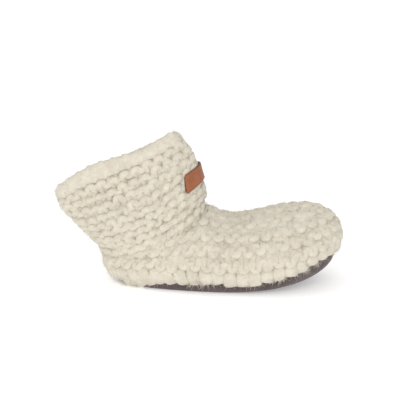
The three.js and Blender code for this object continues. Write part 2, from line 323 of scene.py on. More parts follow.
# Upper, its shape
# The knitted fabric runs from the seam up over the foot, and behind the ankle crease on up
# the slack shaft to the collar. A row is one ridge of garter stitch, which is two courses.
BULGE = {"heel": 0.9, "toe": FOOT_LENGTH, "heel_half": 25, "ball_half": 30}
HEM_RISE = math.radians(40)
VAMP = {"x": [60, 67, 75, 88, 100, 112], "top": [43.5, 39.8, 38.7, 41.2, 44.3, 46.2]}
CROWN_X = VAMP["x"][-1]
RINGS = {
    "height": [0, 0.4, 0.7, 1],
    "back_x": [-0.5, -10.8, -20.5, -25.5],
    "back_z": [18.5, 30.5, 39.5, 51.5],
    "front_x": [60, 55.6, 51.5, 43],
    "front_z": [43.5, 61, 74, 85.5],
    "half": [24, 24, 17, 12.5],
    "blunt": [1, 1, 0.88, 0.75],
    "dip": [1.5, 1.25, 1.05, 0.85],
}
VAMP_ROWS, SHAFT_ROWS = 6, 10
ROUND = 0.55  # handle of a quarter circle, as a share of its radius
LEVELS = (0.5, 1)  # shares of the way to the crease over which the fabric turns level at the ankle
RIB_STEPS, HEIGHT_STEPS = 48, 60  # points of a line over the foot, and of one up the shaft
SMALL_RISE = 0.002  # of the shaft's height, to find which way it starts
SOFTENING = 6  # passes that round off the kinks
COLUMNS = 160  # of the right side from the heel to the crease, and again from there to the toe
ROW_STEP = 0.1  # rows between neighbouring points of a column
LOWEST_ROW = -1.0
SHORT_OF_END = 1.001  # keeps a place in a grid below its last point


def shaft_points(place, height):
    around = np.pi * place / CREASE
    share = (1 - np.cos(around)) / 2
    ring = {c: read_table(RINGS, "height", height, c) for c in RINGS if c != "height"}
    x = ring["back_x"] + (ring["front_x"] - ring["back_x"]) * share
    y = -ring["half"] * np.maximum(np.sin(around), 0) ** ring["blunt"]
    z = ring["back_z"] + (ring["front_z"] - ring["back_z"]) * share ** ring["dip"]
    return np.stack([x, y, z], -1)


def rib_points(place):
    """The line of the fabric over the foot at each place, from the seam to the ankle or the middle."""
    share = foot_share(place)
    seam = outline(SEAM, share, read_table(SIDE, "along", share, "seam"))
    bulge = outline(BULGE, share, read_table(SIDE, "along", share, "bulge"))
    up = np.array([0, 0, 1.0])
    ahead = np.clip((share - CREASE_SHARE) / (1 - CREASE_SHARE), 0, 1)
    taper = (FOOT_LENGTH - CREASE_X) / (CROWN_X - CREASE_X)
    top_x = CREASE_X + (CROWN_X - CREASE_X) * (1 - (1 - ahead) ** taper)
    vamp_top = np.stack([top_x, 0 * top_x, read_table(VAMP, "x", top_x, "top")], -1)
    behind = np.minimum(place, CREASE)
    ankle, above = shaft_points(behind, 0 * place), shaft_points(behind, 0 * place + SMALL_RISE)
    on_vamp = (place > CREASE)[:, None]
    levelling = smooth_between(*LEVELS, behind / CREASE)[:, None]
    turning = unit(unit(above - ankle) * (1 - levelling) + np.array([0, 1, 0]) * levelling)
    inwards = unit(np.stack([top_x - bulge[:, 0], -bulge[:, 1], 0 * top_x], -1))
    top, arrives = np.where(on_vamp, vamp_top, ankle), np.where(on_vamp, inwards, turning)
    reach = (bulge - seam) * [1, 1, 0]
    far = np.linalg.norm(reach, axis=1)[:, None]
    leaves = unit(reach) * math.cos(HEM_RISE) + up * math.sin(HEM_RISE)
    over = np.linalg.norm((top - bulge)[:, :2], axis=1)[:, None]
    rise = (top - bulge)[:, 2:]
    t = np.linspace(0, 1, RIB_STEPS + 1)
    low_rise = (bulge - seam)[:, 2:]
    low = curve(seam, seam + leaves * ROUND * far, bulge - up * ROUND * low_rise, bulge, t)
    handle = ROUND * np.maximum(over, rise / 2)
    high = curve(bulge, bulge + up * ROUND * rise, top - arrives * handle, top, t)
    return np.concatenate([low, high[:, 1:]], 1)


def walked(points):
    """Distance along lines of points, from their starts."""
    steps = np.linalg.norm(np.diff(points, axis=-2), axis=-1)
    return np.concatenate([0 * steps[..., :1], np.cumsum(steps, -1)], -1)


def resampled(rows, points, at):
    """A column's points at other rows, run on straight past its ends."""
    made = np.stack([np.interp(at, rows, points[:, k]) for k in range(3)], -1)
    for past, end, inner in ((at < rows[0], 0, 2), (at > rows[-1], -1, -3)):
        slope = (points[end] - points[inner]) / (rows[end] - rows[inner])
        made[past] = points[end] + slope * (at[past] - rows[end])[:, None]
    return made


def softened(points):
    """Rounds off the kinks of each column."""
    for _ in range(SOFTENING):
        points[:, 1:-1] = (points[:, :-2] + 2 * points[:, 1:-1] + points[:, 2:]) / 4
    return points


def fabric_shape():
    """The foot's and the shaft's points on the right side, by place and row, and the rows at each place."""
    places = np.linspace(0, 1, 2 * COLUMNS + 1)
    ribs = rib_points(places)
    lengths = walked(ribs)
    rows_at = VAMP_ROWS * (lengths[:, -1] / lengths[COLUMNS, -1])
    rows_at[COLUMNS:] = VAMP_ROWS
    foot_rows = np.arange(LOWEST_ROW, VAMP_ROWS + 2, ROW_STEP)
    shaft_rows = np.arange(LOWEST_ROW, SHAFT_ROWS + 1, ROW_STEP)
    heights = np.linspace(0, 1, HEIGHT_STEPS)
    foot, shaft = [], []
    for i, place in enumerate(places):
        rows = lengths[i] / lengths[i, -1] * rows_at[i]
        if i <= COLUMNS:
            rising = shaft_points(np.full(HEIGHT_STEPS, place), heights)[1:]
            line = np.concatenate([ribs[i], rising])
            rows = np.concatenate([rows, rows_at[i] + heights[1:] * SHAFT_ROWS])
            shaft.append(resampled(rows, line, rows_at[i] + shaft_rows))
        else:
            across = (ribs[i] * [1, -1, 1])[::-1][1:]
            line = np.concatenate([ribs[i], across])
            rows = np.concatenate([rows, 2 * rows_at[i] - rows[::-1][1:]])
        foot.append(resampled(rows, line, foot_rows))
    return softened(np.array(foot)), softened(np.array(shaft)), rows_at


def both_sides(right):
    """Columns of the right side, then those of the left side back to the start."""
    return np.concatenate([right, (right * [1, -1, 1])[::-1][1:]])


def normals_of(points):
    along = np.gradient(points, axis=0)
    along[0] = along[-1] = points[1] - points[-2]
    return unit(np.cross(along, np.gradient(points, axis=1)))


def looked_up(values, column, row):
    """Values of a grid between its points, up to the last ones."""
    column, row = np.broadcast_arrays(column, row)
    last_column, last_row = np.array(values.shape[:2]) - SHORT_OF_END
    c = np.clip(column, 0, last_column)
    r = np.clip((row - LOWEST_ROW) / ROW_STEP, 0, last_row)
    i, j = c.astype(int), r.astype(int)
    s, t = (c - i)[:, None], (r - j)[:, None]
    low = values[i, j] * (1 - s) + values[i + 1, j] * s
    high = values[i, j + 1] * (1 - s) + values[i + 1, j + 1] * s
    return low * (1 - t) + high * t


# The main folds of the slack fabric, as places and heights on the shaft that each runs over
FOLDS = [
    {"places": [0, 0.12, 0.2], "heights": [0.1, 0.1, 0.14], "push": -1.1, "breadth": 3.8},
    {"places": [0, 0.1, 0.18], "heights": [0.3, 0.28, 0.26], "push": -0.3, "breadth": 4.5},
    {"places": [0.5, 0.4, 0.3], "heights": [0.06, 0.12, 0.24], "push": -1.4, "breadth": 3.6},
    {"places": [0.5, 0.42, 0.36], "heights": [0.22, 0.26, 0.36], "push": 0.9, "breadth": 4.5},
    {"places": [0.05, 0.12], "heights": [0.62, 0.7], "push": -1.2, "breadth": 5.0},
]
FOLD_POINTS = 40  # of a fold's line
# The rim's left side sags, its right side stands up in two soft waves, and all of it leans left
RIM_BENDS = [
    {"move": (0, 0, -4.0), "column": 0.75, "columns": 0.2},
    {"move": (0, 0, 1.2), "column": 0.18, "columns": 0.08},
    {"move": (0, 0, 1.2), "column": 0.44, "columns": 0.09},
    {"move": (0, 1.2, 0), "column": 0.5, "columns": 9.0},
]
BENT_ROW, BENT_ROWS = 10.4, 4.0  # the row that moves most, and how far down the rows move with it


def folded(points):
    """Presses the folds into a grid of points, alike on both sides."""
    normals = normals_of(points)
    sided = points * [1, 0, 1] - np.abs(points) * [0, 1, 0]
    for fold in FOLDS:
        t = np.linspace(0, 1, FOLD_POINTS)
        knots = np.linspace(0, 1, len(fold["places"]))
        line = shaft_points(np.interp(t, knots, fold["places"]), np.interp(t, knots, fold["heights"]))
        nearest = np.full(points.shape[:2], np.inf)
        for at in line:
            nearest = np.minimum(nearest, ((sided - at) ** 2).sum(-1))
        points = points + normals * (fold["push"] * np.exp(-nearest / fold["breadth"] ** 2))[..., None]
    return points


def bent_rim(points, bend):
    """Moves a stretch of the shaft's rim, and less of the fabric below it."""
    column = np.linspace(0, 1, points.shape[0])[:, None]
    row = LOWEST_ROW + ROW_STEP * np.arange(points.shape[1])[None, :]
    far = ((column - bend["column"]) / bend["columns"]) ** 2
    far = far + (np.minimum(row - BENT_ROW, 0) / BENT_ROWS) ** 2
    return points + np.array(bend["move"]) * np.exp(-far)[..., None]


right_foot, right_shaft, rows_at = fabric_shape()
foot_points, shaft_grid = folded(both_sides(right_foot)), folded(both_sides(right_shaft))
for bend in RIM_BENDS:
    shaft_grid = bent_rim(shaft_grid, bend)
foot_cloth, shaft_cloth = (foot_points, normals_of(foot_points)), (shaft_grid, normals_of(shaft_grid))


def on_cloth(cloth, column, row, lift):
    points, normals = cloth
    normal = unit(looked_up(normals, column, row))
    return looked_up(points, column, row) + normal * np.asarray(lift)[..., None], normal


# Upper, its knitting
# A thick soft cream yarn in garter stitch. Each course is one yarn bent into loops, and two courses
# make a row: the front loops' heads are the lumps of its ridge, and the back loops lie behind them.
FOOT_KNIT = {
    "stitch": 6.65, "row": 8.5, "loop": 7.2, "depth": 1.1,
    "front": {"width": 2.35, "thick": 1.75, "middle": -2.1},
    "back": {"width": 2.1, "thick": 1.65, "middle": -2.5},
}
SHAFT_KNIT = {
    "stitch": 7.1, "row": 4.9, "loop": 3.7, "depth": 1.0,
    "front": {"width": 2.15, "thick": 1.65, "middle": -1.85},
    "back": {"width": 1.8, "thick": 1.55, "middle": -2.2},
}
LOOP = {"swing": 0.075, "steps": 16, "sides": 10, "square": 0.75}
COURSES = {"front": -0.22, "back": 0.25}  # rows from the middle of a ridge to its two courses
STRAY = {  # how far the yarn strays, as shares of a size or in millimetres
    "tall": 0.2, "depth": 0.2, "girth": 0.1,
    "along": 0.8, "across": 0.8, "lift": 0.35,
}
YARN_END = {"thin": 0.1, "taper": 3, "sunk": 2.5, "stitches": 0.5}  # an end is drawn in and hidden
SHORT_ROW = 0.85  # rows of fabric that a row of the foot needs at its ends, where it meets the shaft
LINE_POINTS = 900  # along a row, to measure it
HEEL_DROP = 0.35  # rows by which the shaft's first ridge sinks at the heel
FLOOR_TOUCH = 0.15  # wool that would hang lower lies on the floor
TWIST = {"length": 6, "around": 2}  # millimetres of yarn, and repeats round it, to the twist's pattern
TWIST_SHARE = 0.4  # of the yarn's relief, and the rest is its grain
WOOL_COLOUR, WOOL_SHADE = (0.75, 0.70, 0.59, 1), (0.57, 0.52, 0.43, 1)
# The fuzz gets lighter copies of the wool's colours: a painted highlight for the light its loose fibres
# catch.
FUZZ_HIGHLIGHT_COLOUR, FUZZ_HIGHLIGHT_SHADE = (0.86, 0.81, 0.70, 1), (0.72, 0.67, 0.56, 1)
rng = np.random.default_rng(11)


def wool(name, colour, shade):
    material, tree, shader = new_material(name, Roughness=0.95, Sheen_Weight=0.25, Specular_IOR_Level=0.1)
    flecks = mottled(tree, colour, shade, patch=5, grain=1.1, share=0.5)
    tree.links.new(flecks.outputs["Colour"], shader.inputs["Base Color"])
    along = node(tree, "ShaderNodeUVMap", uv_map="cloth")
    twist = node(tree, "ShaderNodeTexWave", Vector=along.outputs["UV"], Scale=1.0, Distortion=2.0, Detail=2.0)
    twist.bands_direction = "DIAGONAL"
    relief = mixed(tree, "FLOAT", 1 - TWIST_SHARE, twist.outputs["Fac"], flecks.outputs["Height"])
    bumped(tree, shader, relief, depth=0.5, strength=0.55)
    return material


def noise_line(count, step):
    """Smooth random numbers from -1 to 1 along a line, one knot every few points."""
    knots = rng.uniform(-1, 1, max(count // step, 4))
    at = np.linspace(0, len(knots), count, endpoint=False)
    i = at.astype(int) % len(knots)
    t = smooth_between(0, 1, at - at.astype(int))
    return knots[i] * (1 - t) + knots[(i + 1) % len(knots)] * t


class Skein:
    """Gathers tubes of yarn into one mesh."""

    def __init__(self):
        self.points, self.faces, self.uv, self.count = [], [], [], 0
        self.outside = []  # where fibres may grow: points, ways out, and how much these look outwards

    def tube(self, path, normal, width, thick, sides, closed, square=1.0):
        count = len(path)
        if closed:
            forward = np.roll(path, -1, 0) - np.roll(path, 1, 0)
        else:
            forward = np.gradient(path, axis=0)
        forward = unit(forward)
        aside = unit(np.cross(normal, forward))
        up = np.cross(forward, aside)
        turn = np.arange(sides) * 2 * np.pi / sides
        across, above = (np.sign(k) * np.abs(k) ** square for k in (np.cos(turn), np.sin(turn)))
        ring = across[:, None] * (aside * np.reshape(width, (-1, 1)))[:, None]
        ring = ring + above[:, None] * (up * np.reshape(thick, (-1, 1)))[:, None]
        points = path[:, None] + ring
        points[..., 2] = np.maximum(points[..., 2], FLOOR_TOUCH)
        outwards = unit(ring)
        faces = grid_faces(count, sides, close_rows=closed, close_columns=True)
        length = walked(np.concatenate([path, path[:1]]))
        rows = count if closed else count - 1
        r, c = np.repeat(np.arange(rows), sides), np.tile(np.arange(sides), rows)
        u, u2 = length[r] / TWIST["length"], length[r + 1] / TWIST["length"]
        v, v2 = c / sides * TWIST["around"], (c + 1) / sides * TWIST["around"]
        corners = np.stack([u, v, u, v2, u2, v2, u2, v], -1).reshape(-1, 2)
        self.points.append(points.reshape(-1, 3))
        self.faces += (faces + self.count).tolist()
        self.uv.append(corners)
        if not closed:
            first = np.arange(sides)[::-1] + self.count
            last = np.arange(sides) + self.count + (count - 1) * sides
            self.faces += [first.tolist(), last.tolist()]
            self.uv.append(np.zeros((2 * sides, 2)))
        self.outside.append((points, outwards, (outwards * normal[:, None]).sum(-1, keepdims=True)))
        self.count += count * sides

    def piece(self, name, material, slot):
        points, uv = np.concatenate(self.points), np.concatenate(self.uv)
        return add_piece(name, points, self.faces, material, uv=uv)


def knit_row(skein, cloth, knit, row, start, stop, closed, up, drop=0):
    """One ridge: two courses that share their stitches. start and stop are columns of the cloth."""
    columns = np.linspace(start, stop, LINE_POINTS)
    line, _ = on_cloth(cloth, columns, row + 0.5, 0)
    length = walked(line)
    stitches = max(round(length[-1] / knit["stitch"]), 2)
    pitch = length[-1] / stitches
    steps = LOOP["steps"]
    count = stitches * steps + (0 if closed else 1)
    t = np.arange(count) * 2 * np.pi / steps
    shift = rng.uniform(0, 1) if closed else 0
    for course, heads_out in (("front", 1), ("back", -1)):
        kind = knit[course]
        tall = knit["loop"] * (1 + STRAY["tall"] * noise_line(count, steps))
        reach = (t / (2 * np.pi) + LOOP["swing"] * np.sin(2 * t) + shift) * pitch
        reach = reach + STRAY["along"] * noise_line(count, steps)
        reach = reach % length[-1] if closed else np.clip(reach, 0, length[-1])
        column = np.interp(reach, length, columns)
        rise = -up * tall / 2 * np.cos(t) + STRAY["across"] * noise_line(count, steps // 2)
        swell = knit["depth"] * (1 + STRAY["depth"] * noise_line(count, steps))
        lift = kind["middle"] - heads_out * swell * np.cos(t) + STRAY["lift"] * noise_line(count, steps)
        sunk = drop * (1 + np.cos(np.pi * column / COLUMNS)) / 2
        rows = row + (0.5 + COURSES[course] * up) + rise / knit["row"] - sunk
        girth = 1 + STRAY["girth"] * noise_line(count, steps // 3)
        if not closed:
            from_end = np.minimum(np.arange(count), np.arange(count)[::-1]) / steps
            girth = girth * np.clip(from_end * YARN_END["taper"], YARN_END["thin"], 1) ** 0.5
            lift = lift - YARN_END["sunk"] * (1 - smooth_between(0, YARN_END["stitches"], from_end))
        path, normal = on_cloth(cloth, column, rows, lift)
        width, thick = kind["width"] * girth, kind["thick"] * girth
        skein.tube(path, normal, width, thick, LOOP["sides"], closed, LOOP["square"])


yarn_wool = wool("yarn_wool", WOOL_COLOUR, WOOL_SHADE)
highlit_loose_wool = wool("highlit_loose_wool", FUZZ_HIGHLIGHT_COLOUR, FUZZ_HIGHLIGHT_SHADE)
foot_yarn, shaft_yarn = Skein(), Skein()
full_turn = 4 * COLUMNS
for row in range(1, VAMP_ROWS):
    closed = row + 1 < rows_at[: COLUMNS + 1].min()
    first = 0 if closed else np.interp(row + SHORT_ROW, rows_at[: COLUMNS + 1], np.arange(COLUMNS + 1))
    knit_row(foot_yarn, foot_cloth, FOOT_KNIT, row, first, full_turn - first, closed, up=-1)
for row in range(SHAFT_ROWS - 1):
    drop = HEEL_DROP * (1 - row / (SHAFT_ROWS - 2))
    knit_row(shaft_yarn, shaft_cloth, SHAFT_KNIT, row, 0, 2 * COLUMNS, True, up=1, drop=drop)
foot_knit = foot_yarn.piece("knit_foot", yarn_wool, "knit")
shaft_yarn.piece("knit_shaft", yarn_wool, "knit")
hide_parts("upper")

# Upper, its edges
# Along the sole each stitch of the last course is a plump tongue that is sewn down over the
# suede. At the collar the stitches are bound off in a thick rolled chain.
TONGUE = {  # from its upper end to its lower end
    "row": [1.2, 1.0, 0.8, 0.55, 0.3, 0.12, 0.02, -0.03],
    "lift": [-2.6, -1.9, -1.3, -1.0, -1.1, -1.4, -2.0, -2.8],
    "width": [3.0, 3.6, 3.9, 3.95, 3.95, 3.9, 3.7, 3.0],
    "thick": [1.2, 1.7, 1.9, 1.9, 1.9, 1.8, 1.5, 0.9],
}
TONGUE_TUBE = {"steps": 15, "sides": 16, "square": 0.65}
TONGUE_END, LOWER_HALF = (0.3, -0.03), (0.5, 0.0)  # its rows from where each begins to where it is full
LENGTHENED = {"heel": 0.38, "ball": -0.3, "toe": -0.75}  # of the tongues' lower halves, as shares
HEEL_LIFT, HEEL_SAG = 0.8, 1.8  # the ends beside the heel come out, and sink to the floor over the suede
AT_HEEL_BACK = 0.25  # how much of the heel's changes the tongues right behind it take
LOOSE = {  # the least and the most that chance changes in a tongue
    "place": (-0.07, 0.07), "lean": (-0.5, 0.5), "width": (0.93, 1.06),
    "length": (-0.5, 0.1), "lift": (-0.15, 0.2),
}
STRETCHES = {  # of the way round from the heel, as shares of it, over which a change comes in or goes out
    "heel": (0.025, 0.065), "past_heel": (0.145, 0.095),
    "corner": (0.032, 0.055), "past_corner": (0.092, 0.068),
    "waist": (0.1, 0.15), "ball": (0.17, 0.25), "toe": (0.35, 0.41),
}
HEM_POINTS, HEM_ROW = 1600, 0.2  # along the hem, to measure it
CHAIN = {"row": 9.3, "thick": 2.2, "lift": -1.6, "around": 420, "sides": 16, "square": 0.85}
CHAIN_LUMPS = {"uneven": 0.06, "step": 14, "groove": 0.06, "cleft": 0.6, "slant": 0.9}
ROLL = {  # half the breadth of the rolled edge, along its way round from the heel
    "round": [0, 0.05, 0.13, 0.19, 0.26, 0.34, 0.41, 0.48, 0.95, 1],
    "half": [2.5, 3.9, 4.7, 5.1, 4.7, 3.8, 4.2, 3.6, 3.5, 2.5],
}


def edge_tongues(skein):
    """A tongue for each stitch along the sole, longer beside the heel and shorter at ball and toe."""
    columns = np.linspace(0, full_turn, HEM_POINTS)
    line, _ = on_cloth(foot_cloth, columns, HEM_ROW, 0)
    length = walked(line)
    stitches = round(length[-1] / FOOT_KNIT["stitch"])
    steps, sides, square = TONGUE_TUBE.values()
    along = np.linspace(0, 1, steps)
    knots = np.linspace(0, 1, len(TONGUE["row"]))
    profile = {k: np.interp(along, knots, TONGUE[k]) for k in TONGUE}
    at_end, in_lower_half = (smooth_between(*rows, profile["row"]) for rows in (TONGUE_END, LOWER_HALF))
    for k in range(stitches):
        middle = (k + 0.5 + rng.uniform(*LOOSE["place"])) * length[-1] / stitches
        lean = rng.uniform(*LOOSE["lean"]) * (along - 0.5)
        column = np.interp((middle + lean) % length[-1], length, columns)
        width = profile["width"] * rng.uniform(*LOOSE["width"])
        from_heel = min(middle, length[-1] - middle) / length[-1]
        at = {name: smooth_between(*ends, from_heel) for name, ends in STRETCHES.items()}
        at_heel = (AT_HEEL_BACK + (1 - AT_HEEL_BACK) * at["heel"]) * at["past_heel"]
        before_toe = 1 - at["toe"]
        longer = rng.uniform(*LOOSE["length"]) * (at["waist"] * before_toe)
        longer = longer + LENGTHENED["ball"] * (at["ball"] * before_toe)
        longer = longer + LENGTHENED["heel"] * at_heel + LENGTHENED["toe"] * at["toe"]
        row = profile["row"] + np.minimum(0, profile["row"] - LOWER_HALF[0]) * longer
        lift = profile["lift"] + HEEL_LIFT * at_heel * at_end + rng.uniform(*LOOSE["lift"])
        path, normal = on_cloth(foot_cloth, column, row, lift)
        path[:, 2] -= HEEL_SAG * (at["corner"] * at["past_corner"]) * in_lower_half
        skein.tube(path, normal, width, profile["thick"], sides, False, square)


def bound_chain(skein):
    """A thick tube along the collar, with a groove between one bound stitch and the next."""
    count, sides = CHAIN["around"], CHAIN["sides"]
    column = np.linspace(0, 2 * COLUMNS, count, endpoint=False)
    half = read_table(ROLL, "round", column / (2 * COLUMNS), "half")
    row = CHAIN["row"] + (half - min(ROLL["half"])) / SHAFT_KNIT["row"]
    path, normal = on_cloth(shaft_cloth, column, row, CHAIN["lift"])
    girth = 1 + CHAIN_LUMPS["uneven"] * noise_line(count, CHAIN_LUMPS["step"])
    skein.tube(path, normal, half * girth, CHAIN["thick"] * girth, sides, True, CHAIN["square"])
    length = walked(np.concatenate([path, path[:1]]))
    stitches = round(length[-1] / SHAFT_KNIT["stitch"])
    turn = np.arange(sides) * 2 * np.pi / sides
    slant = np.abs((turn + np.pi / 2) % (2 * np.pi) - np.pi) * CHAIN_LUMPS["slant"]
    wave = 2 * np.pi * stitches * (length[:-1] / length[-1])[:, None] + slant
    swell = 1 + CHAIN_LUMPS["groove"] * (np.sin(wave) - CHAIN_LUMPS["cleft"] * np.cos(2 * wave))
    points = skein.points[-1].reshape(count, sides, 3)
    skein.points[-1] = (path[:, None] + (points - path[:, None]) * swell[..., None]).reshape(-1, 3)


tongues, chain = Skein(), Skein()
edge_tongues(tongues)
bound_chain(chain)
tongues.piece("edge_stitches", yarn_wool, "knit")
chain.piece("bound_off_edge", yarn_wool, "knit")

# Upper, its core
# The felted middle of the fabric, which closes the gaps between the loops unevenly. Its inside is
# the back of the knit, where garter stitch shows the same two lines of bumps to each ridge.
CORE = {  # lifts of its outside and inside from the fabric's face
    "foot": -1.4, "shaft": -1.3, "uneven": 0.7, "sunk": -2.8,
    "inner": -4.7, "valley": 1.4,
}
CORE_GRID = {"columns": 2, "rows": 0.125, "lowest_row": -0.5}
LUMP = {"columns": 6, "rows": 4}  # points of the core's grid to a lump
FELTED = {"vamp": 0.6, "heel": 0.45}  # shares by which the core lies further out where the knit is matted
VAMP_STARTS, VAMP_ROWS_FELTED = (COLUMNS + 8, COLUMNS + 50), (3.2, 4.6)
HEEL_ENDS, HEEL_ROWS_FELTED = (0.75, 0.5), (3.5, 2)
CREASE_NEAR, CREASE_ROWS, CREASE_THIN = (40, 10), (2, 0.5), 0.85
HEM_ROWS, JOIN_ROWS = (0.5, 1.2), 0.8  # the core comes out above the hem, and sinks where foot meets shaft
BACK_BUMP = {"half_stitch": 0.62, "half_row": 0.4, "rows": (0.34, 0.66), "stitches": (0, 0.5)}
BACK_STITCHES = 54  # round the foot, and half as many round the shaft


def lumps(columns, rows):
    """Smooth random numbers from -1 to 1 over a grid whose columns run round."""
    knots = rng.uniform(-1, 1, (columns // LUMP["columns"], (rows + 1) // LUMP["rows"] + 2))
    c = np.linspace(0, len(knots), columns, endpoint=False)
    r = np.linspace(0, knots.shape[1] - SHORT_OF_END, rows)
    i, j = c.astype(int), r.astype(int)
    s, t = smooth_between(0, 1, c - i)[:, None], smooth_between(0, 1, r - j)[None, :]
    i2 = (i + 1) % len(knots)
    low = knots[i][:, j] * (1 - s) + knots[i2][:, j] * s
    high = knots[i][:, j + 1] * (1 - s) + knots[i2][:, j + 1] * s
    return low * (1 - t) + high * t


def back_ridges(columns, row):
    """Height of the bumps on the fabric's inside, from 0 in the valleys to 1."""
    height = 0
    for stitch, middle in zip(BACK_BUMP["stitches"], BACK_BUMP["rows"]):
        across = (columns * BACK_STITCHES / full_turn + stitch) % 1 - 0.5
        above = (row - middle + 0.5) % 1 - 0.5
        far = (across / BACK_BUMP["half_stitch"]) ** 2 + (above / BACK_BUMP["half_row"]) ** 2
        height = np.maximum(height, 1 - far)
    return np.sqrt(height)


def core_layers(cloth, columns, rows, sink, outer):
    """Rings of the core's inside and of its outside, row by row.

    sink gives the rows to take, how much of the outside shows, and how thick the core is.
    """
    uneven = CORE["uneven"] * lumps(len(columns), len(rows))
    outside, inside = [], []
    for k, row in enumerate(rows):
        at, shown, full = sink(row)
        out = CORE["sunk"] + (outer + uneven[:, k] - CORE["sunk"]) * shown
        outside.append(on_cloth(cloth, columns, at, out * full)[0])
        back = CORE["inner"] + CORE["valley"] * (1 - back_ridges(columns, row))
        inside.append(on_cloth(cloth, columns, at, back * full)[0])
    return np.array(inside), np.array(outside)


def at_back(place):
    """1 behind the ankle, and 0 at its front."""
    return smooth_between(*HEEL_ENDS, place / COLUMNS)


def foot_core():
    """Rings of the foot's core, from the top of its inside down round the hem and up its outside."""
    around = np.arange(0, full_turn, CORE_GRID["columns"])
    place = np.minimum(around, full_turn - around)
    fill = rows_at[place]
    over_vamp = smooth_between(*VAMP_STARTS, place)
    at_crease = smooth_between(*CREASE_NEAR, np.abs(place - COLUMNS))
    away_from_join = JOIN_ROWS * (over_vamp + at_back(place))

    def sink(row):
        at = np.minimum(row, fill)
        shown = smooth_between(*HEM_ROWS, row) * smooth_between(0, JOIN_ROWS, fill - at + away_from_join)
        felted = over_vamp * smooth_between(*VAMP_ROWS_FELTED, row)
        thin = CREASE_THIN * at_crease * smooth_between(*CREASE_ROWS, fill - at)
        return at, shown * (1 + FELTED["vamp"] * felted), 1 - thin

    step = CORE_GRID["rows"]
    rows = np.arange(CORE_GRID["lowest_row"], VAMP_ROWS + step / 2, step)
    inside, outside = core_layers(foot_cloth, around, rows, sink, CORE["foot"])
    middle = place > COLUMNS
    for layer in (inside, outside):  # both sides meet on the middle of the vamp
        other = layer[-1][-np.arange(len(around))]
        layer[-1][middle] = ((layer[-1] + other) / 2 * [1, 0, 1])[middle]
    return np.concatenate([inside[::-1], outside])


def shaft_core():
    """Rings of the shaft's core, up its outside and down its inside."""
    around = np.arange(0, 2 * COLUMNS, CORE_GRID["columns"])
    behind = at_back(np.minimum(around, 2 * COLUMNS - around))

    def sink(row):
        felted = behind * smooth_between(*HEEL_ROWS_FELTED, row)
        shown = smooth_between(0, JOIN_ROWS, row + JOIN_ROWS * behind) * (1 + FELTED["heel"] * felted)
        return row, shown, 1

    rows = np.arange(0, CHAIN["row"], CORE_GRID["rows"])
    inside, outside = core_layers(shaft_cloth, around, rows, sink, CORE["shaft"])
    return np.concatenate([outside, inside[::-1]])


add_rings("knit_core", [foot_core(), shaft_core()], yarn_wool)

# Label
# A strip of tan leather with round corners and dark cut edges, bent round the front of the
# shaft and sewn flat on the ridges of the knit.
LABEL = {"length": 36, "height": 9, "thick": 1.3, "corner": 1.6, "bevel": 0.3}
LABEL_SEAT = {"row": 0.46 * SHAFT_ROWS, "lift": 0.9}
LABEL_LEAN = 0.015  # the strip's upper edge is drawn shorter than its lower edge, per millimetre of height
LABEL_GRID = {"along": 61, "across": 15}
LEATHER_COLOUR, LEATHER_SHADE = (0.37, 0.128, 0.050, 1), (0.26, 0.082, 0.034, 1)
BURNT_EDGE, BURNT_REACH = (0.11, 0.042, 0.022, 1), (-0.55, 0.05)  # millimetres past the strip's outline


def leather():
    material, tree, shader = new_material("label_leather", Roughness=0.55, Specular_IOR_Level=0.4)
    grain = mottled(tree, LEATHER_COLOUR, LEATHER_SHADE, patch=4, grain=0.35, share=0.35)
    place = node(tree, "ShaderNodeUVMap", uv_map="cloth")
    parts = node(tree, "ShaderNodeSeparateXYZ", Vector=place.outputs["UV"])
    nearest = node(tree, "ShaderNodeMath", operation="MAXIMUM")
    tree.links.new(parts.outputs["X"], nearest.inputs[0])
    tree.links.new(parts.outputs["Y"], nearest.inputs[1])
    start, end = BURNT_REACH
    rim = node(tree, "ShaderNodeMapRange", Value=nearest.outputs[0], From_Min=start, From_Max=end)
    burnt = mixed(tree, "RGBA", rim.outputs[0], grain.outputs["Colour"], BURNT_EDGE)
    tree.links.new(burnt, shader.inputs["Base Color"])
    bumped(tree, shader, grain.outputs["Height"], depth=0.2, strength=0.45)
    return material


def label_mesh():
    """Rings round the strip from one end to the other, and each point's distances past its outline."""
    ankle = np.arange(2 * COLUMNS + 1)
    seat_row = LABEL_SEAT["row"]
    line, _ = on_cloth(shaft_cloth, ankle, seat_row, 0)
    length = walked(line)
    front = length[COLUMNS]
    one_row, _ = on_cloth(shaft_cloth, COLUMNS, seat_row + np.array([-0.5, 0.5]), 0)
    row_pitch = np.linalg.norm(one_row[1] - one_row[0])
    turn = np.sin(np.linspace(-np.pi / 2, np.pi / 2, LABEL_GRID["along"]))
    bevel, thick = LABEL["bevel"], LABEL["thick"]
    rings, places = [], []
    for share in turn:
        along = share * LABEL["length"] / 2
        from_end = min((1 - abs(share)) * LABEL["length"] / 2, LABEL["corner"])
        cut = LABEL["corner"] - math.sqrt(LABEL["corner"] ** 2 - (LABEL["corner"] - from_end) ** 2)
        half = LABEL["height"] / 2 - cut
        ends = min(1, 0.5 + from_end / bevel / 2)
        across = np.linspace(-1, 1, LABEL_GRID["across"])
        face = across * (half - bevel)
        edge = [(half, thick - bevel), (half, bevel)]
        profile = [(y, thick) for y in face] + edge
        profile = profile + [(y, 0) for y in face[::-1]] + [(-y, z) for y, z in edge[::-1]]
        y, z = np.array(profile).T
        z = thick / 2 + (z - thick / 2) * ends
        column = np.interp(front + along * (1 - LABEL_LEAN * y), length, ankle)
        ring, _ = on_cloth(shaft_cloth, column, seat_row + y / row_pitch, LABEL_SEAT["lift"] + z)
        rings.append(ring)
        side = np.full(len(y), abs(along) - LABEL["length"] / 2)
        places.append(np.stack([side, np.abs(y) - LABEL["height"] / 2], -1))
    return np.array(rings), np.array(places)


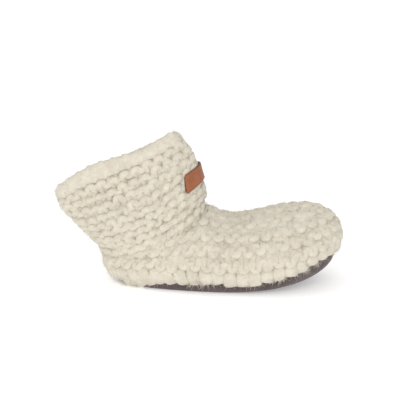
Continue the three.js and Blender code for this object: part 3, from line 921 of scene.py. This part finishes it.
label_rings, places = label_mesh()
label_points = label_rings.reshape(-1, 3)
count, around = label_rings.shape[:2]
faces = grid_faces(count, around, close_columns=True)
caps = [list(range(around))[::-1], [(count - 1) * around + k for k in range(around)]]
uv = places.reshape(-1, 2)[np.concatenate([faces.ravel(), np.ravel(caps)])]
label = add_piece("leather_label", label_points, faces.tolist() + caps, leather(), uv=uv)
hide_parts("label")

# Upper, its fuzz
# Loose ends of wool: a short down all over the yarn, some longer hairs, and a fray that hangs
# over the edge of the sole. They are coloured lighter than the yarn, as a painted highlight.
DOWN = {"length": 1.2, "longest": 2.8, "radius": 0.07, "spread": 0.7, "droop": 0.0, "bent": False}
HAIR = {"length": 2.6, "longest": 6.0, "radius": 0.045, "spread": 0.55, "droop": 0.0, "bent": True}
FRAY = {"length": 1.7, "longest": 4.2, "radius": 0.06, "spread": 0.5, "droop": 0.6, "bent": True}
FIBRE = {"shortest": 0.3, "outwards": 0.8, "rooted": 0.2, "bend_at": 0.55, "bend": 0.6, "thinner": 0.8}
FACES_OUT = -0.1  # least share of a yarn's face that looks outwards, for a fibre to grow there
CLEAR_OF_LABEL = 2.2
FIBRES = {"foot_down": 34000, "shaft_down": 36000, "foot_hair": 5000, "shaft_hair": 5000}
HEM_FRAY = {"all": 1500, "worn": 2500, "worn_share": 0.35}  # fibres, and the share of tongues that are worn
HEM_RINGS = slice(6, 12)  # of a tongue, along its lower half
under_label = KDTree(len(label_points))
for k, point in enumerate(label_points):
    under_label.insert(point, k)
under_label.balance()


def grown(skeins, count, kind):
    """Closed slivers of wool that grow from the outward faces of the yarn: points, and faces over them."""
    parts = zip(*[part for skein in skeins for part in skein.outside])
    points, outwards, facing = (np.concatenate([p.reshape(-1, p.shape[-1]) for p in part]) for part in parts)
    allowed = np.flatnonzero(facing > FACES_OUT)
    pick = allowed[rng.integers(0, len(allowed), count)]
    pick = pick[[under_label.find(p)[2] > CLEAR_OF_LABEL for p in points[pick]]]
    count = len(pick)
    out, down = outwards[pick], np.array([0, 0, -kind["droop"]])
    size = np.clip(rng.exponential(kind["length"], count), FIBRE["shortest"], kind["longest"])[:, None]
    lead = unit(out * FIBRE["outwards"] + rng.normal(0, kind["spread"], (count, 3)) + down)
    root = points[pick] - out * FIBRE["rooted"]
    aside = unit(np.cross(lead, rng.normal(0, 1, lead.shape)))
    across = np.cross(lead, aside)
    turn = np.arange(3) * 2 * np.pi / 3
    ring = (np.cos(turn)[:, None] * aside[:, None] + np.sin(turn)[:, None] * across[:, None]) * kind["radius"]
    sides = ((0, 1), (1, 2), (2, 0))
    if kind["bent"]:
        follow = unit(lead + rng.normal(0, FIBRE["bend"], (count, 3)) + down)
        bend = root + lead * size * FIBRE["bend_at"]
        tip = bend + follow * size * (1 - FIBRE["bend_at"])
        made = [root[:, None] + ring, bend[:, None] + ring * FIBRE["thinner"], tip[:, None]]
        pattern = [f for a, b in sides for f in ([a, b, 3 + b], [a, 3 + b, 3 + a], [3 + a, 3 + b, 6])]
    else:
        made = [root[:, None] + ring, (root + lead * size)[:, None]]
        pattern = [[a, b, 3] for a, b in sides]
    made = np.concatenate(made, 1)
    made[..., 2] = np.maximum(made[..., 2], FLOOR_TOUCH)
    faces = np.arange(count)[:, None, None] * made.shape[1] + np.array([[0, 2, 1]] + pattern)
    return made.reshape(-1, 3), faces.reshape(-1, 3)


def add_fuzz(name, groups):
    """One piece from groups of fibres."""
    starts = np.cumsum([0] + [len(points) for points, _ in groups])
    points = np.concatenate([points for points, _ in groups])
    faces = np.concatenate([faces + start for (_, faces), start in zip(groups, starts)])
    add_piece(name, points, faces, highlit_loose_wool, uv=np.zeros((faces.size, 2)))


hem, worn_hem = Skein(), Skein()
for tongue in tongues.outside:
    end = [part[HEM_RINGS] for part in tongue]
    hem.outside.append(end)
    if rng.random() < HEM_FRAY["worn_share"]:
        worn_hem.outside.append(end)
add_fuzz("foot_down", [grown([foot_yarn, tongues], FIBRES["foot_down"], DOWN)])
add_fuzz("shaft_down", [grown([shaft_yarn, chain], FIBRES["shaft_down"], DOWN)])
hairs = [
    grown([foot_yarn], FIBRES["foot_hair"], HAIR),
    grown([shaft_yarn, chain], FIBRES["shaft_hair"], HAIR),
    grown([hem], HEM_FRAY["all"], FRAY),
    grown([worn_hem], HEM_FRAY["worn"], FRAY),
]
add_fuzz("loose_hairs", hairs)

# Floor, light and camera
# A plain pale floor that glows a little, a painted light that pales the shadows on it and lights
# the shoe from below, under a white sky and one wide soft lamp on the shoe's right side, which the
# camera sees from a little above.
FLOOR_COLOUR, FLOOR_GLOW, FLOOR_HALF = (0.93, 0.93, 0.93, 1), 0.3, 6
SKY_STRENGTH = 0.83
LAMP = {"place": (-0.1, -1.6, 0.9), "size": 1.2, "power": 10.0}
floor_mesh = bpy.data.meshes.new("floor")
corners = [(FLOOR_HALF * x, FLOOR_HALF * y, 0) for x, y in ((-1, -1), (1, -1), (1, 1), (-1, 1))]
floor_mesh.from_pydata(corners, [], [(0, 1, 2, 3)])
# The floor's emission is painted light: a glow that pales the shadows on it and lights the shoe from below.
pale = {"Base_Color": FLOOR_COLOUR, "Emission_Color": FLOOR_COLOUR, "Emission_Strength": FLOOR_GLOW}
floor_material, _, _ = new_material("glowing_pale_floor", Roughness=0.9, Specular_IOR_Level=0.2, **pale)
floor_mesh.materials.append(floor_material)
floor = bpy.data.objects.new("floor", floor_mesh)
bpy.context.scene.collection.objects.link(floor)

world = bpy.data.worlds.new("studio")
world.use_nodes = True
sky = world.node_tree.nodes["Background"].inputs
sky["Color"].default_value, sky["Strength"].default_value = (1, 1, 1, 1), SKY_STRENGTH
bpy.context.scene.world = world
light = bpy.data.lights.new("key", "AREA")
light.size, light.energy = LAMP["size"], LAMP["power"]
lamp = bpy.data.objects.new("key", light)
lamp.location = LAMP["place"]
lamp.rotation_euler = (-Vector(LAMP["place"])).to_track_quat("-Z", "Y").to_euler()
bpy.context.scene.collection.objects.link(lamp)

AZIMUTH, ELEVATION = math.radians(2), math.radians(16.4)
DISTANCE, SENSOR = 1.5, 0.036
PIXEL = 0.5637 * MM  # of the picture, at the shoe
PICTURE = 400  # pixels along each side
ORIGIN_AT = (199, 280)  # where the frame's origin shows in the picture
camera_data = bpy.data.cameras.new("camera")
camera_data.sensor_width = SENSOR / MM
camera_data.lens = SENSOR / MM * DISTANCE / (PICTURE * PIXEL)
camera = bpy.data.objects.new("camera", camera_data)
level = math.cos(ELEVATION)
back = Vector((math.sin(AZIMUTH) * level, -math.cos(AZIMUTH) * level, math.sin(ELEVATION)))
turned = (-back).to_track_quat("-Z", "Y")
middle = PICTURE / 2
aim = turned @ Vector(((middle - ORIGIN_AT[0]) * PIXEL, (ORIGIN_AT[1] - middle) * PIXEL, 0))
camera.location = aim + back * DISTANCE
camera.rotation_euler = turned.to_euler()
bpy.context.scene.collection.objects.link(camera)
bpy.context.scene.camera = camera
bpy.context.scene.view_settings.view_transform = "Standard"
